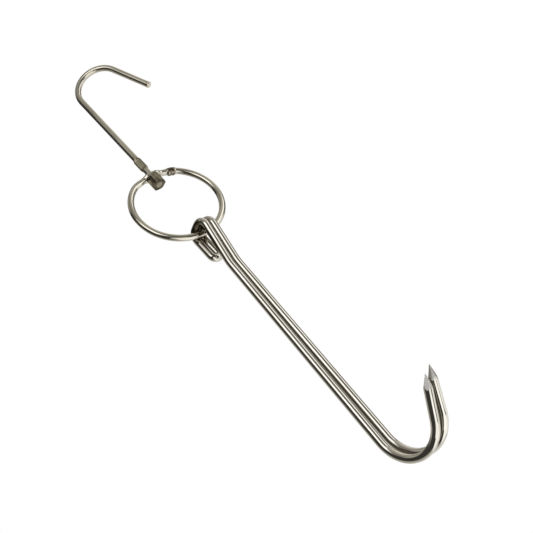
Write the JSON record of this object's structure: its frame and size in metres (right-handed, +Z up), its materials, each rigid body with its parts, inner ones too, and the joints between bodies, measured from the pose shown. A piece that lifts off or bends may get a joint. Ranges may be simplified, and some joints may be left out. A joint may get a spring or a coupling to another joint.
{
  "type": "swivel meat hook",
  "caption": "Stainless wire meat hook: a rail hook turns in a ring by a riveted hexagon nut, and a hairpin-bent double prong with ground points swings from the ring.",
  "frame": {"origin": "inside of the top hook's crown, where the rail bears", "axes": "+Z up along the hanging chain; +X the way the top hook opens; +Y to the back"},
  "size_m": [0.0683, 0.0488, 0.3349],
  "materials": {
    "top_wire": "satin drawn stainless wire",
    "nut": "dark tumbled stainless",
    "ring_wire": "polished stainless wire, dark at the weld",
    "prong_wire": "bright polished stainless wire, ground points"
  },
  "bodies": {
    "top_hook": {"top_hook": "top_wire", "swivel_nut": "nut"},
    "ring": {"ring": "ring_wire"},
    "double_hook": {"double_hook": "prong_wire"}
  },
  "joints": [
    {"name": "ring_swivel", "type": "hinge", "parent": "top_hook", "child": "ring", "pos_m": [-0.0153, 0, -0.091], "axis": [0, 0, 1], "continuous": true},
    {"name": "hook_swing", "type": "hinge", "parent": "ring", "child": "double_hook", "pos_m": [-0.0153, 0, -0.146], "axis": [0.9085, 0.4179, 0], "range_deg": [-150, 150]}
  ]
}
